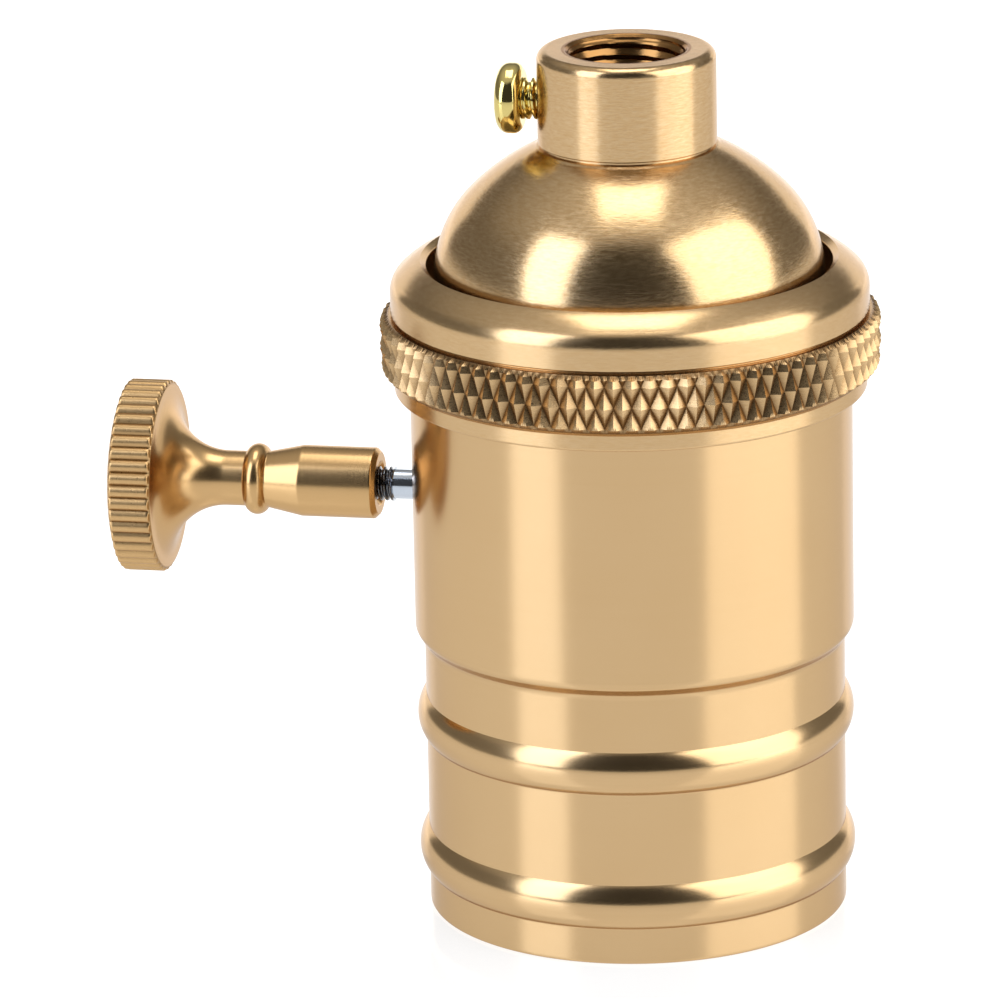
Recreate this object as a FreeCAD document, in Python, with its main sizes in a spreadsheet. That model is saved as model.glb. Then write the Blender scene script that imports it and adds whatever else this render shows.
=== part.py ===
import FreeCAD, Part
import math
import os

import Sketcher

# A metal E27 lamp holder with a rotary side switch, in millimetres.
# The origin is on the lamp axis at the bottom rim, +Z points up to the cord entry,
# and the switch knob stands out along -X.

DIMENSIONS = {
    "zero": 0.0,
    # outer shell: two rolled beads below a small step, upper wall up into the lock ring
    "rim_radius": 18.2,
    "shell_radius": 19.0,
    "thread_radius": 18.70,
    "lower_bore": 16.95,
    "upper_bore": 17.9,
    "edge": 0.3,
    "low_bead_bottom": 3.2,
    "low_bead_top": 7.15,
    "low_bead_round": 2.83,
    "high_bead_bottom": 15.3,
    "high_bead_top": 19.1,
    "high_bead_round": 2.78,
    "step_bottom": 24.1,
    "step_top": 25.1,
    "seat_level": 24.4,
    "thread_bottom": 46.9,
    "shell_top": 52.5,
    "spindle_window": 1.7,
    "clip_groove": 18.3,
    # porcelain core and E27 screw shell
    "core_radius": 16.75,
    "core_flange": 17.75,
    "core_neck": 16.4,
    "core_bottom": 1.2,
    "core_bore": 13.75,
    "core_mouth": 14.6,
    "core_mouth_depth": 0.9,
    "core_ceiling": 25.6,
    "core_flange_top": 27.4,
    "core_top": 29.2,
    "clip_thickness": 0.9,
    "clip_inner": 16.6,
    "clip_gap": 5.0,
    "screw_minor": 12.25,
    "screw_major": 13.3,
    "screw_outer": 13.7,
    "screw_bottom": 2.6,
    "screw_first_crest": 3.3,
    "screw_pitch": 3.629,
    "screw_crest": 0.7,
    "screw_flank": 0.95,
    "sheet": 0.5,
    "screw_hole": 8.6,
    # centre contact, its rivet and the strips up to the switch
    "tongue_half_width": 2.5,
    "tongue_end": 4.2,
    "tongue_foot": 3.0,
    "tongue_bend": 1.0,
    "rivet_shank": 1.2,
    "rivet_head": 2.2,
    "rivet_head_height": 0.8,
    "rivet_clearance": 1.25,
    "strip_half_width": 1.75,
    "contact_reach": 4.86,
    "contact_top": 39.5,
    "contact_foot": 33.6,
    "tab_reach": 9.6,
    # switch block around the spindle
    "block_radius": 16.4,
    "block_flat": 13.4,
    "chamber_floor": 31.4,
    "chamber_top": 43.6,
    "chamber_front": 11.0,
    "chamber_back": 5.0,
    "chamber_half_width": 8.0,
    "recess_top": 30.7,
    "recess_radius": 2.9,
    "recess_half_width": 2.0,
    "deck_top": 46.5,
    "bearing_radius": 1.36,
    "bearing_end": 8.0,
    "screw_post_x": 6.0,
    "screw_post_y": 10.9,
    "post_hole": 1.6,
    "nut_bottom": 27.0,
    "nut_radius": 3.175,
    "strap_x": 8.6,
    "strap_near": 5.2,
    "strap_far": 9.2,
    # terminals under the cap
    "terminal_x": 3.5,
    "terminal_y": 7.5,
    "terminal_half_length": 4.5,
    "terminal_half_width": 2.75,
    "terminal_height": 5.6,
    "wire_hole": 1.5,
    "small_thread": 1.4,
    "small_head": 2.7,
    "small_head_height": 1.8,
    "small_slot": 0.3,
    "small_slot_depth": 0.7,
    "small_screw_length": 5.0,
    # rotor of the switch, measured along the spindle from the lamp axis
    "knob_level": 36.6,
    "spindle_radius": 1.3,
    "spindle_inner_end": 6.6,
    "spindle_thread_start": 20.9,
    "spindle_thread": 1.5,
    "spindle_outer_end": 27.0,
    "cam_start": 2.0,
    "cam_end": 8.0,
    "cam_half": 3.6,
    "cam_round": 1.0,
    "bridge_start": 1.0,
    "bridge_half_width": 2.2,
    "bridge_radius": 4.8,
    "stop_ring_start": 10.1,
    "stop_ring_radius": 2.9,
    "stop_ring_width": 0.7,
    "spring_half_width": 2.5,
    "spring_half_length": 6.2,
    "spring_sheet": 0.3,
    # knob
    "barrel_start": 22.2,
    "barrel_radius": 3.05,
    "barrel_chamfer": 0.4,
    "barrel_taper": 29.0,
    "knob_bead_start": 32.15,
    "knob_bead_width": 2.3,
    "knob_bead_round": 1.40,
    "knob_bead_foot": 2.5,
    "knob_neck": 2.4,
    "flare_start": 35.7,
    "flare_round": 5.2,
    "disc_start": 40.9,
    "disc_end": 44.6,
    "disc_core": 7.85,
    "disc_dome": 0.35,
    "disc_bevel": 0.9,
    "ridge_tip": 8.25,
    "ridge_foot": 0.50,
    "ridge_shoulder": 0.37,
    "ridge_crest": 0.16,
    "ridge_round": 0.13,
    "ridge_inset": 0.3,
    "ridge_count": 45,
    "knob_hole_end": 28.0,
    "knob_sink": 1.95,
    # cap: flange, dome and threaded neck
    "flange_bottom": 52.55,
    "flange_top": 54.35,
    "flange_radius": 18.55,
    "dome_level": 56.14,
    "dome_radius": 16.75,
    "dome_side_round": 10.5,
    "dome_top_round": 19.38,
    "dome_join_radius": 13.63,
    "dome_join_level": 63.60,
    "dome_inner_radius": 15.4,
    "inner_join_radius": 12.68,
    "inner_join_level": 62.64,
    "neck_foot": 67.48,
    "neck_foot_round": 0.35,
    "neck_radius": 7.65,
    "neck_round": 1.0,
    "cap_top": 76.0,
    "cord_bore": 5.0,
    "cord_mouth": 5.25,
    "cord_bore_bottom": 67.15,
    "liner_outer": 15.3,
    "liner_inner": 14.9,
    "liner_bottom": 52.7,
    "liner_top": 56.0,
    # lock ring with its diamond knurl
    "ring_bottom": 46.4,
    "ring_foot": 20.2,
    "ring_band": 20.3,
    "ring_edge": 0.15,
    "knurl_lip": 47.75,
    "knurl_bottom": 48.7,
    "knurl_top": 53.2,
    "knurl_tip": 21.5,
    "knurl_valley": 20.95,
    "knurl_blank": 21.55,
    "knurl_count": 86,
    "knurl_row": 1.83,
    "knurl_turn": 1.7,
    "knurl_first_row": 46.69,
    "knurl_clear": 24.0,
    "ledge_radius": 21.2,
    "ledge_level": 53.55,
    "ledge_groove": 20.35,
    "upper_band": 20.53,
    "upper_band_bottom": 53.8,
    "upper_band_top": 55.45,
    "shoulder_round": 2.9,
    "crown_radius": 17.9,
    "crown_level": 58.1,
    "opening_radius": 17.35,
    "opening_level": 57.7,
    "lip_level": 54.45,
    "ring_bore": 18.76,
    "ring_counterbore": 19.06,
    "ring_counterbore_top": 47.4,
    # grip screw in the neck
    "grip_level": 71.4,
    "grip_tip": 5.15,
    "grip_shank": 1.8,
    "grip_hole": 1.85,
    "grip_head_start": 8.9,
    "grip_head_end": 11.1,
    "grip_head_radius": 3.05,
    "grip_head_round": 0.9,
    "grip_slot": 0.4,
    "grip_slot_reach": 1.9,
    "grip_slot_depth": 0.9,
}

doc = FreeCAD.newDocument("lamp_holder")
sheet = doc.addObject("Spreadsheet::Sheet", "dims")
for row, (name, value) in enumerate(DIMENSIONS.items(), 1):
    sheet.set(f"A{row}", name)
    sheet.set(f"B{row}", str(value))
    sheet.setAlias(f"B{row}", name)
doc.recompute()

Z_AXIS = FreeCAD.Vector(0, 0, 1)
TO_KNOB = FreeCAD.Rotation(FreeCAD.Vector(0, 1, 0), -90)  # local +Z lies along -X
RIGHT_TURN = -1
LEFT_TURN = 1
SCREW_TURNS = 5
HAIR = 0.001


# ---- helpers: amounts, sketches and features ----


def size(formula):
    """The number behind a sum of named dimensions such as 'step_top + sheet'."""
    total = 0.0
    sign = 1
    for word in formula.split():
        if word in ("+", "-"):
            sign = 1 if word == "+" else -1
        else:
            total += sign * DIMENSIONS[word]
    return total


def bound(formula):
    """The same sum as an expression on the spreadsheet's cells."""
    words = [word if word in ("+", "-") else f"dims.{word}" for word in formula.split()]
    return " ".join(words)


def less(top, bottom):
    """The formula of top minus bottom, with every sign of bottom turned over."""
    flipped = [{"+": "-", "-": "+"}.get(word, word) for word in bottom.split()]
    return f"{top} {' '.join(flipped)}" if flipped[0] in "+-" else f"{top} - {' '.join(flipped)}"


def origin_plane(body, role):
    return next(plane for plane in body.Origin.OriginFeatures if plane.Role == role)


def new_sketch(body, name, role, level="zero"):
    """An empty sketch on one of the body's origin planes, moved along its normal by level."""
    sketch = body.newObject("Sketcher::SketchObject", name)
    sketch.AttachmentSupport = [(origin_plane(body, role), "")]
    sketch.MapMode = "FlatFace"
    if level != "zero":
        sketch.AttachmentOffset = FreeCAD.Placement(size(level) * Z_AXIS, FreeCAD.Rotation())
        sketch.setExpression("AttachmentOffset.Base.z", bound(level))
    return sketch


def bind(sketch, kind, where, formula):
    """Adds a dimension to the sketch and ties it to the spreadsheet."""
    index = sketch.addConstraint(Sketcher.Constraint(kind, *where, size(formula)))
    sketch.setExpression(f"Constraints[{index}]", bound(formula))


def add_outline(sketch, corners):
    """A closed outline. A corner is (across, up), or (across, up, radius, turn) after an arc."""
    points = [FreeCAD.Vector(size(corner[0]), size(corner[1]), 0) for corner in corners]
    edges = []
    for index, corner in enumerate(corners):
        start, end = points[index - 1], points[index]
        if len(corner) == 2:
            edges.append((sketch.addGeometry(Part.LineSegment(start, end), False), 1, 2))
            continue
        edges.append(add_arc(sketch, start, end, size(corner[2]), corner[3]))
    for index, (edge, first, last) in enumerate(edges):
        before, _, before_last = edges[index - 1]
        sketch.addConstraint(Sketcher.Constraint("Coincident", before, before_last, edge, first))
        bind(sketch, "DistanceX", (-1, 1, edge, last), corners[index][0])
        bind(sketch, "DistanceY", (-1, 1, edge, last), corners[index][1])
        half_turn = (points[index] - points[index - 1]).Length / 2
        if len(corners[index]) == 4 and size(corners[index][2]) > half_turn + HAIR:
            bind(sketch, "Radius", (edge,), corners[index][2])


def add_arc(sketch, start, end, radius, turn):
    """The shorter arc from start to end; a left turn keeps its centre on the left."""
    chord = end - start
    left = FreeCAD.Vector(-chord.y, chord.x, 0).normalize()
    reach = math.sqrt(max(radius**2 - (chord.Length / 2) ** 2, 0.0))
    centre = (start + end) * 0.5 + left * (turn * reach)
    angles = [math.atan2(point.y - centre.y, point.x - centre.x) for point in (start, end)]
    if turn == RIGHT_TURN:
        angles.reverse()
    circle = Part.Circle(centre, Z_AXIS, radius)
    edge = sketch.addGeometry(Part.ArcOfCircle(circle, *angles), False)
    return (edge, 1, 2) if turn == LEFT_TURN else (edge, 2, 1)


def add_circle(sketch, across, up, radius):
    centre = FreeCAD.Vector(size(across), size(up), 0)
    edge = sketch.addGeometry(Part.Circle(centre, Z_AXIS, size(radius)), False)
    bind(sketch, "DistanceX", (-1, 1, edge, 3), across)
    bind(sketch, "DistanceY", (-1, 1, edge, 3), up)
    bind(sketch, "Radius", (edge,), radius)


def box_corners(left, right, low, high):
    return [(left, low), (right, low), (right, high), (left, high)]


def turned(name, corners):
    """A body revolved around its own Z axis from an outline of (radius, level) corners."""
    body = doc.addObject("PartDesign::Body", name)
    sketch = new_sketch(body, f"{name}_profile", "XZ_Plane")
    add_outline(sketch, corners)
    turning = body.newObject("PartDesign::Revolution", f"{name}_turning")
    turning.Profile = sketch
    turning.ReferenceAxis = (sketch, ["V_Axis"])
    turning.Angle = 360
    doc.recompute()
    return body


def pad(body, sketch, length, symmetric=False):
    feature = body.newObject("PartDesign::Pad", f"{sketch.Name}_pad")
    feature.Profile = sketch
    feature.Length = size(length)
    feature.setExpression("Length", bound(length))
    if symmetric:
        feature.SideType = "Symmetric"
        feature.setExpression("Length", f"2 * ({bound(length)})")
    doc.recompute()
    return feature


def pocket(body, sketch, length, upward=False):
    """Cuts the sketch into the body and makes sure that material went away."""
    before = body.Shape.Volume
    feature = body.newObject("PartDesign::Pocket", f"{sketch.Name}_pocket")
    feature.Profile = sketch
    feature.Length = size(length)
    feature.setExpression("Length", bound(length))
    feature.Reversed = upward
    doc.recompute()
    if body.Shape.Volume > before - 0.01:
        raise RuntimeError(f"{sketch.Name} cuts nothing")
    return feature


def drill(body, name, role, across, up, radius, length, level="zero", upward=False):
    sketch = new_sketch(body, name, role, level)
    add_circle(sketch, across, up, radius)
    return pocket(body, sketch, length, upward)


def mill(body, name, role, corners, length, level="zero", upward=False):
    sketch = new_sketch(body, name, role, level)
    add_outline(sketch, corners)
    return pocket(body, sketch, length, upward)


def block(name, role, corners, length, level="zero", symmetric=False):
    """A body padded from one outline."""
    body = doc.addObject("PartDesign::Body", name)
    sketch = new_sketch(body, f"{name}_outline", role, level)
    add_outline(sketch, corners)
    pad(body, sketch, length, symmetric)
    return body


def polar(body, feature, count):
    pattern = body.newObject("PartDesign::PolarPattern", f"{feature.Name}_pattern")
    pattern.Originals = [feature]
    pattern.Axis = (feature.Profile[0], ["N_Axis"])
    pattern.Angle = 360
    pattern.Occurrences = int(size(count))
    pattern.setExpression("Occurrences", bound(count))
    body.Tip = pattern
    doc.recompute()


def lay_along_knob(body, level="knob_level"):
    """Turns a body made around Z so that its axis runs out along -X at a level."""
    body.Placement = FreeCAD.Placement(size(level) * Z_AXIS, TO_KNOB)
    body.setExpression("Placement.Base.z", bound(level))


# ---- outer shell ----


def make_outer_shell():
    body = turned("outer_shell", [
        ("lower_bore", "zero"),
        ("rim_radius - edge", "zero"),
        ("rim_radius", "edge"),
        ("rim_radius", "low_bead_bottom"),
        ("rim_radius", "low_bead_top", "low_bead_round", LEFT_TURN),
        ("rim_radius", "high_bead_bottom"),
        ("rim_radius", "high_bead_top", "high_bead_round", LEFT_TURN),
        ("rim_radius", "step_bottom"),
        ("shell_radius", "step_top"),
        ("shell_radius", "thread_bottom"),
        ("thread_radius", "thread_bottom"),
        ("thread_radius", "shell_top"),
        ("upper_bore", "shell_top"),
        ("upper_bore", "core_flange_top + clip_thickness"),
        ("clip_groove", "core_flange_top + clip_thickness"),
        ("clip_groove", "core_flange_top"),
        ("upper_bore", "core_flange_top"),
        ("upper_bore", "seat_level"),
        ("lower_bore", "seat_level"),
    ])
    drill(body, "spindle_hole", "YZ_Plane", "zero", "knob_level", "spindle_window",
          "shell_radius + sheet")
    return body


# ---- core, screw shell and centre contact ----


def make_core():
    body = turned("porcelain_core", [
        ("rivet_clearance", "core_ceiling"),
        ("core_bore", "core_ceiling"),
        ("core_bore", "core_bottom + core_mouth_depth"),
        ("core_mouth", "core_bottom"),
        ("core_radius", "core_bottom"),
        ("core_radius", "seat_level"),
        ("core_flange", "seat_level"),
        ("core_flange", "core_flange_top"),
        ("core_neck", "core_flange_top"),
        ("core_neck", "core_top"),
        ("rivet_clearance", "core_top"),
    ])
    mill(body, "core_strap_slot", "XY_Plane", strap_opening(), "core_top - core_ceiling", "core_top")
    for side in ("- screw_post_y", "screw_post_y"):
        name = "low_nut_pocket" if side.startswith("-") else "high_nut_pocket"
        sketch = new_sketch(body, name, "XY_Plane", "core_top")
        add_hexagon(sketch, "- screw_post_x", side, "nut_radius")
        pocket(body, sketch, "core_top - nut_bottom")
    return body


def strap_opening():
    return box_corners("strap_x", "strap_x + sheet", "strap_near", "strap_far")


def add_hexagon(sketch, across, up, radius):
    """A regular hexagon whose corners lie on a circle."""
    centre = FreeCAD.Vector(size(across), size(up), 0)
    corners = [
        centre + size(radius) * FreeCAD.Vector(
            math.cos(turn * math.pi / 3), math.sin(turn * math.pi / 3), 0)
        for turn in range(6)
    ]
    guide = sketch.addGeometry(Part.Circle(centre, Z_AXIS, size(radius)), True)
    bind(sketch, "DistanceX", (-1, 1, guide, 3), across)
    bind(sketch, "DistanceY", (-1, 1, guide, 3), up)
    bind(sketch, "Radius", (guide,), radius)
    sides = [
        sketch.addGeometry(Part.LineSegment(corners[k], corners[(k + 1) % 6]), False)
        for k in range(6)
    ]
    for k, side in enumerate(sides):
        sketch.addConstraint(Sketcher.Constraint("Coincident", side, 2, sides[(k + 1) % 6], 1))
        sketch.addConstraint(Sketcher.Constraint("PointOnObject", side, 1, guide))
        if k:
            sketch.addConstraint(Sketcher.Constraint("Equal", sides[0], side))
    sketch.addConstraint(Sketcher.Constraint("Horizontal", sides[1]))


def make_screw_shell():
    """Formed brass shell: crests at the minor radius and roots at the major, one of each a pitch."""
    top_crest = "screw_first_crest" + " + screw_pitch" * SCREW_TURNS
    corners = [
        ("screw_outer", "core_ceiling"),
        ("screw_hole", "core_ceiling"),
        ("screw_hole", "core_ceiling - sheet"),
        ("screw_major", "core_ceiling - sheet"),
        ("screw_major", f"{top_crest} + screw_crest + screw_flank"),
    ]
    for turn in reversed(range(SCREW_TURNS + 1)):
        crest = "screw_first_crest" + " + screw_pitch" * turn
        corners.append(("screw_minor", f"{crest} + screw_crest"))
        corners.append(("screw_minor", crest))
        if turn:
            corners.append(("screw_major", f"{crest} - screw_flank"))
            corners.append(("screw_major", f"{crest} - screw_pitch + screw_crest + screw_flank"))
    corners.append(("screw_major", "screw_bottom"))
    corners.append(("screw_outer", "screw_bottom"))
    return turned("screw_shell", corners)


def make_centre_contact():
    """Hairpin strip: foot under the ceiling, one bend, and a tongue back across the axis."""
    foot_top = "core_ceiling"
    foot_low = "core_ceiling - sheet"
    tongue_top = "core_ceiling - sheet - tongue_bend - tongue_bend"
    tongue_low = "core_ceiling - sheet - sheet - tongue_bend - tongue_bend"
    body = block("centre_contact", "XZ_Plane", [
        ("- tongue_foot", foot_low),
        ("tongue_end", foot_low),
        ("tongue_end", tongue_top, "tongue_bend", RIGHT_TURN),
        ("- tongue_foot", tongue_top),
        ("- tongue_foot", tongue_low),
        ("tongue_end", tongue_low),
        ("tongue_end", foot_top, "tongue_bend + sheet", LEFT_TURN),
        ("- tongue_foot", foot_top),
    ], "tongue_half_width", symmetric=True)
    drill(body, "contact_eye", "XY_Plane", "zero", "zero", "rivet_shank", "sheet", foot_top)
    return body


def make_rivet():
    """Solid rivet through the core's ceiling, with a head under the foot and one above the strip."""
    return turned("contact_rivet", [
        ("zero", "core_ceiling - sheet - rivet_head_height"),
        ("rivet_head - edge", "core_ceiling - sheet - rivet_head_height"),
        ("rivet_head", "core_ceiling - sheet"),
        ("rivet_shank", "core_ceiling - sheet"),
        ("rivet_shank", "core_top + sheet"),
        ("rivet_head", "core_top + sheet"),
        ("rivet_head", "core_top + sheet + rivet_head_height"),
        ("zero", "core_top + sheet + rivet_head_height"),
    ])


def make_core_clip():
    """Open snap ring in the shell's groove, on top of the core's flange."""
    body = turned("core_clip", [
        ("clip_inner", "core_flange_top"),
        ("clip_groove", "core_flange_top"),
        ("clip_groove", "core_flange_top + clip_thickness"),
        ("clip_inner", "core_flange_top + clip_thickness"),
    ])
    gap = box_corners("lower_bore - clip_gap", "shell_radius", "- clip_gap", "clip_gap")
    mill(body, "clip_opening", "XY_Plane", gap, "clip_thickness", "core_flange_top + clip_thickness")
    return body


# ---- switch block, deck and strips ----


def add_round_block(sketch):
    """A disc with a flat on each side in Y, leaving room for the wires."""
    edge_x = math.sqrt(DIMENSIONS["block_radius"] ** 2 - DIMENSIONS["block_flat"] ** 2)
    flat = DIMENSIONS["block_flat"]
    right_angle = math.atan2(flat, edge_x)
    circle = Part.Circle(FreeCAD.Vector(), Z_AXIS, DIMENSIONS["block_radius"])
    right = sketch.addGeometry(Part.ArcOfCircle(circle, -right_angle, right_angle), False)
    left_arc = Part.ArcOfCircle(circle, math.pi - right_angle, math.pi + right_angle)
    left = sketch.addGeometry(left_arc, False)
    top = sketch.addGeometry(
        Part.LineSegment(FreeCAD.Vector(edge_x, flat, 0), FreeCAD.Vector(-edge_x, flat, 0)), False
    )
    low = sketch.addGeometry(
        Part.LineSegment(FreeCAD.Vector(-edge_x, -flat, 0), FreeCAD.Vector(edge_x, -flat, 0)), False
    )
    loop = (right, top, left, low)
    for index, edge in enumerate(loop):
        sketch.addConstraint(Sketcher.Constraint("Coincident", loop[index - 1], 2, edge, 1))
    for arc in (right, left):
        sketch.addConstraint(Sketcher.Constraint("Coincident", arc, 3, -1, 1))
        bind(sketch, "Radius", (arc,), "block_radius")
    bind(sketch, "DistanceY", (-1, 1, top, 1), "block_flat")
    bind(sketch, "DistanceY", (-1, 1, top, 2), "block_flat")
    bind(sketch, "DistanceY", (-1, 1, low, 1), "- block_flat")
    bind(sketch, "DistanceY", (-1, 1, low, 2), "- block_flat")


def make_round_block(name, bottom, top):
    body = doc.addObject("PartDesign::Body", name)
    sketch = new_sketch(body, f"{name}_outline", "XY_Plane", bottom)
    add_round_block(sketch)
    pad(body, sketch, less(top, bottom))
    for side, label in (("- screw_post_y", "low"), ("screw_post_y", "high")):
        drill(body, f"{name}_post_{label}", "XY_Plane", "- screw_post_x", side, "post_hole",
              less(top, bottom), top)
    mill(body, f"{name}_strap_slot", "XY_Plane", strap_opening(), less(top, bottom), top)
    return body


def make_switch_block():
    """Moulded block with an open chamber for the rotor and a bearing at each end."""
    body = make_round_block("switch_block", "core_top", "chamber_top")
    chamber = box_corners("- chamber_front", "chamber_back", "- chamber_half_width", "chamber_half_width")
    mill(body, "chamber", "XY_Plane", chamber, "chamber_top - chamber_floor", "chamber_top")
    drill(body, "rivet_recess", "XY_Plane", "zero", "zero", "recess_radius", "recess_top - core_top",
          "core_top", upward=True)
    channel = box_corners("- recess_half_width", "recess_half_width", "zero", "contact_reach + sheet")
    mill(body, "strip_channel", "XY_Plane", channel, "sheet", "core_top", upward=True)
    slot = box_corners("- strip_half_width", "strip_half_width", "contact_reach", "contact_reach + sheet")
    mill(body, "strip_slot", "XY_Plane", slot, "chamber_floor - core_top", "chamber_floor")
    drill(body, "front_bearing", "YZ_Plane", "zero", "knob_level", "bearing_radius", "block_radius")
    drill(body, "back_bearing", "YZ_Plane", "zero", "knob_level", "bearing_radius", "bearing_end",
          upward=True)
    return body


def make_deck():
    """Insulating cover of the chamber that carries the two terminals."""
    body = make_round_block("terminal_deck", "chamber_top", "deck_top")
    near = "- contact_reach"
    slot = box_corners("- strip_half_width", "strip_half_width", "- contact_reach - sheet", near)
    mill(body, "feed_slot", "XY_Plane", slot, "deck_top - chamber_top", "deck_top")
    return body


def make_lamp_contact():
    """Strip from the rivet along the core and up beside the rotor."""
    body = block("lamp_contact", "YZ_Plane", [
        ("- rivet_head", "core_top"),
        ("contact_reach + sheet", "core_top"),
        ("contact_reach + sheet", "contact_top"),
        ("contact_reach", "contact_top"),
        ("contact_reach", "core_top + sheet"),
        ("- rivet_head", "core_top + sheet"),
    ], "strip_half_width", symmetric=True)
    drill(body, "strip_eye", "XY_Plane", "zero", "zero", "rivet_shank", "sheet", "core_top + sheet")
    return body


def make_feed_contact():
    """Strip from beside the rotor up through the deck and out under the live terminal."""
    return block("feed_contact", "YZ_Plane", [
        ("- contact_reach - sheet", "contact_foot"),
        ("- contact_reach", "contact_foot"),
        ("- contact_reach", "deck_top + sheet"),
        ("- tab_reach", "deck_top + sheet"),
        ("- tab_reach", "deck_top"),
        ("- contact_reach - sheet", "deck_top"),
    ], "strip_half_width", symmetric=True)


def make_neutral_strap():
    """Strip from the screw shell's collar up to the neutral terminal."""
    body = doc.addObject("PartDesign::Body", "neutral_strap")
    sketch = new_sketch(body, "neutral_strap_outline", "XZ_Plane", "- strap_far")
    add_outline(sketch, [
        ("strap_x", "core_ceiling"),
        ("strap_x + sheet", "core_ceiling"),
        ("strap_x + sheet", "deck_top + sheet"),
        ("terminal_x", "deck_top + sheet"),
        ("terminal_x", "deck_top"),
        ("strap_x", "deck_top"),
    ])
    pad(body, sketch, "strap_far - strap_near")
    return body


def make_terminal(name, side):
    """Brass block with a wire hole along X and a clamping screw from above."""
    low = f"{side}terminal_y - terminal_half_width"
    high = f"{side}terminal_y + terminal_half_width"
    near = "terminal_x - terminal_half_length"
    far = "terminal_x + terminal_half_length"
    outline = box_corners(near, far, low, high)
    body = block(name, "XY_Plane", outline, "terminal_height", "deck_top + sheet")
    wire_level = "deck_top + sheet + terminal_half_width"
    drill(body, f"{name}_wire_hole", "YZ_Plane", f"{side}terminal_y", wire_level, "wire_hole",
          "terminal_half_length + terminal_half_length", far)
    drill(body, f"{name}_screw_hole", "XY_Plane", "terminal_x", f"{side}terminal_y", "small_thread",
          "small_screw_length - small_head_height", "deck_top + sheet + terminal_height")
    return body


def small_screw(name, across, along, head_bottom, length):
    """Cheese-head screw standing upright, with a slot across its head."""
    tip = less("zero", length)
    body = turned(name, [
        ("zero", tip),
        ("small_thread", tip),
        ("small_thread", "zero"),
        ("small_head", "zero"),
        ("small_head", "small_head_height"),
        ("zero", "small_head_height"),
    ])
    slot = box_corners("- small_slot", "small_slot", "- small_head", "small_head")
    mill(body, f"{name}_slot", "XY_Plane", slot, "small_slot_depth", "small_head_height")
    body.Placement.Base = FreeCAD.Vector(size(across), size(along), size(head_bottom))
    for axis, formula in (("x", across), ("y", along), ("z", head_bottom)):
        body.setExpression(f"Placement.Base.{axis}", bound(formula))
    return body


def gather(name, bodies):
    """Two like pieces, each its own solid, kept as one named sub-part."""
    pair = doc.addObject("Part::Compound", name)
    pair.Links = bodies
    return pair


def make_terminal_screws():
    top = "deck_top + sheet + terminal_height"
    length = "small_screw_length - small_head_height"
    return gather("terminal_screws", [
        small_screw("live_screw", "terminal_x", "- terminal_y", top, length),
        small_screw("neutral_screw", "terminal_x", "terminal_y", top, length),
    ])


def make_deck_screws():
    length = "deck_top - nut_bottom"
    return gather("deck_screws", [
        small_screw("deck_screw_low", "- screw_post_x", "- screw_post_y", "deck_top", length),
        small_screw("deck_screw_high", "- screw_post_x", "screw_post_y", "deck_top", length),
    ])


def make_nut(name, side):
    body = doc.addObject("PartDesign::Body", name)
    sketch = new_sketch(body, f"{name}_outline", "XY_Plane", "nut_bottom")
    add_hexagon(sketch, "- screw_post_x", f"{side}screw_post_y", "nut_radius")
    add_circle(sketch, "- screw_post_x", f"{side}screw_post_y", "small_thread")
    pad(body, sketch, "core_top - nut_bottom")
    return body


# ---- rotor of the switch ----


def make_spindle():
    body = turned("spindle", [
        ("zero", "- spindle_inner_end"),
        ("spindle_radius", "- spindle_inner_end"),
        ("spindle_radius", "spindle_thread_start"),
        ("spindle_thread", "spindle_thread_start"),
        ("spindle_thread", "spindle_outer_end"),
        ("zero", "spindle_outer_end"),
    ])
    lay_along_knob(body)
    return body


def make_cam():
    """Square detent cam with rounded corners, pressed on the spindle."""
    near = "cam_half - cam_round"
    body = block("detent_cam", "XY_Plane", [
        (near, "- cam_half"),
        ("cam_half", "- cam_half + cam_round", "cam_round", LEFT_TURN),
        ("cam_half", near),
        (near, "cam_half", "cam_round", LEFT_TURN),
        ("- cam_half + cam_round", "cam_half"),
        ("- cam_half", near, "cam_round", LEFT_TURN),
        ("- cam_half", "- cam_half + cam_round"),
        ("- cam_half + cam_round", "- cam_half", "cam_round", LEFT_TURN),
    ], "cam_end - cam_start", "cam_start")
    drill(body, "cam_bore", "XY_Plane", "zero", "zero", "spindle_radius", "cam_end - cam_start", "cam_end")
    lay_along_knob(body)
    return body


def make_bridge():
    """Brass bar across the spindle that joins the two fixed contacts when it lies level."""
    side, far = "bridge_half_width", "bridge_radius - bridge_half_width"
    near = "- bridge_radius + bridge_half_width"
    body = block("contact_bridge", "XY_Plane", [
        (side, far),
        (f"- {side}", far, side, LEFT_TURN),
        (f"- {side}", near),
        (side, near, side, LEFT_TURN),
    ], "cam_start + bridge_start", "- bridge_start")
    drill(body, "bridge_bore", "XY_Plane", "zero", "zero", "spindle_radius", "cam_start + bridge_start",
          "cam_start")
    lay_along_knob(body)
    return body


def make_stop_ring():
    """Spring collar on the spindle behind the front bearing."""
    body = turned("spindle_collar", [
        ("spindle_radius", "stop_ring_start"),
        ("stop_ring_radius", "stop_ring_start"),
        ("stop_ring_radius", "stop_ring_start + stop_ring_width"),
        ("spindle_radius", "stop_ring_start + stop_ring_width"),
    ])
    lay_along_knob(body)
    return body


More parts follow.
